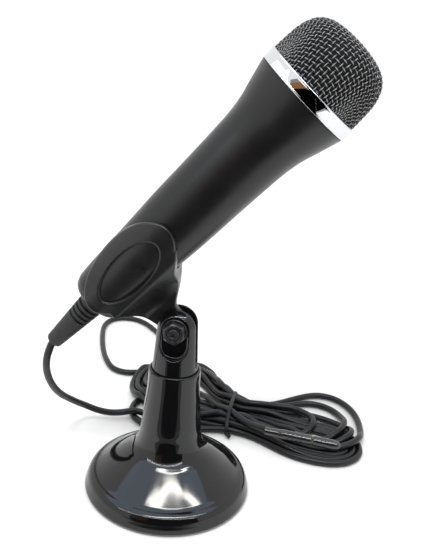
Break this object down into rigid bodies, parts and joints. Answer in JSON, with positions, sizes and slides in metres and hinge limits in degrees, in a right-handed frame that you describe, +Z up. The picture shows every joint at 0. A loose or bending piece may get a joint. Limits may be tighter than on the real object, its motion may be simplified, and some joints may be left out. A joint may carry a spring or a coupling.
{
  "type": "desktop microphone",
  "caption": "Handheld-style microphone held by a snap-in clip on a weighted round desk stand with a tilting fork joint, and a tied cord with a mini plug.",
  "frame": {"origin": "centre of the foot's pad, on the desk", "axes": "+Z up along the stand; the hinge axis runs along Y; the microphone leans in the XZ plane with its head towards +X"},
  "size_m": [0.2027, 0.2579, 0.2418],
  "materials": {
    "gloss_black": "polished black moulding",
    "satin_black": "satin",
    "clip_black": "satin moulding",
    "chrome": "polished plating",
    "mesh_black": "semi-gloss black wire mesh",
    "steel": "zinc plated",
    "black_steel": "black oxide",
    "iron": "as cast",
    "soft_rubber": "matte",
    "foam": "open-cell foam",
    "nylon": "natural",
    "gold": "gold plated",
    "board_green": "solder mask",
    "wire_red": "satin",
    "cord_black": "smooth satin",
    "tie_black": "flat ribbon",
    "plug_black": "glossy moulding"
  },
  "bodies": {
    "base": {"base_shell": "gloss_black", "base_weight": "iron", "base_plate": "satin_black", "base_pad": "soft_rubber", "base_screw_1": "steel", "base_screw_2": "steel", "base_screw_3": "steel", "yoke": "gloss_black", "yoke_screw": "steel", "yoke_washer": "steel", "pivot_bolt": "black_steel", "pivot_nut": "black_steel", "pivot_washer_front": "black_steel", "pivot_washer_rear": "black_steel", "friction_washer_front": "nylon", "friction_washer_rear": "nylon", "cord_tail": "cord_black", "cord_loop": "cord_black", "cord_hank": "cord_black", "cord_tie": "tie_black", "plug_body": "plug_black", "plug_sleeve": "gold", "plug_insulator": "plug_black", "plug_tip": "gold", "plug_cap": "plug_black"},
    "holder": {"holder": "clip_black"},
    "microphone": {"handle": "satin_black", "strain_relief": "soft_rubber", "chrome_collar": "chrome", "grille": "mesh_black", "windscreen": "foam", "grille_seat": "satin_black", "capsule_carrier": "satin_black", "capsule_grommet": "soft_rubber", "capsule": "steel", "capsule_felt": "foam", "capsule_board": "board_green", "lead_signal": "wire_red", "lead_ground": "cord_black"}
  },
  "joints": [
    {"name": "tilt", "type": "hinge", "parent": "base", "child": "holder", "pos_m": [0, 0, 0.093], "axis": [0, -1, 0], "range_deg": [-60, 40], "deforming": ["cord_tail"]},
    {"name": "clip_slide", "type": "slide", "parent": "holder", "child": "microphone", "axis": [0.6481, 0, 0.7615], "range_m": [0, 0.045], "deforming": ["cord_tail"]}
  ]
}
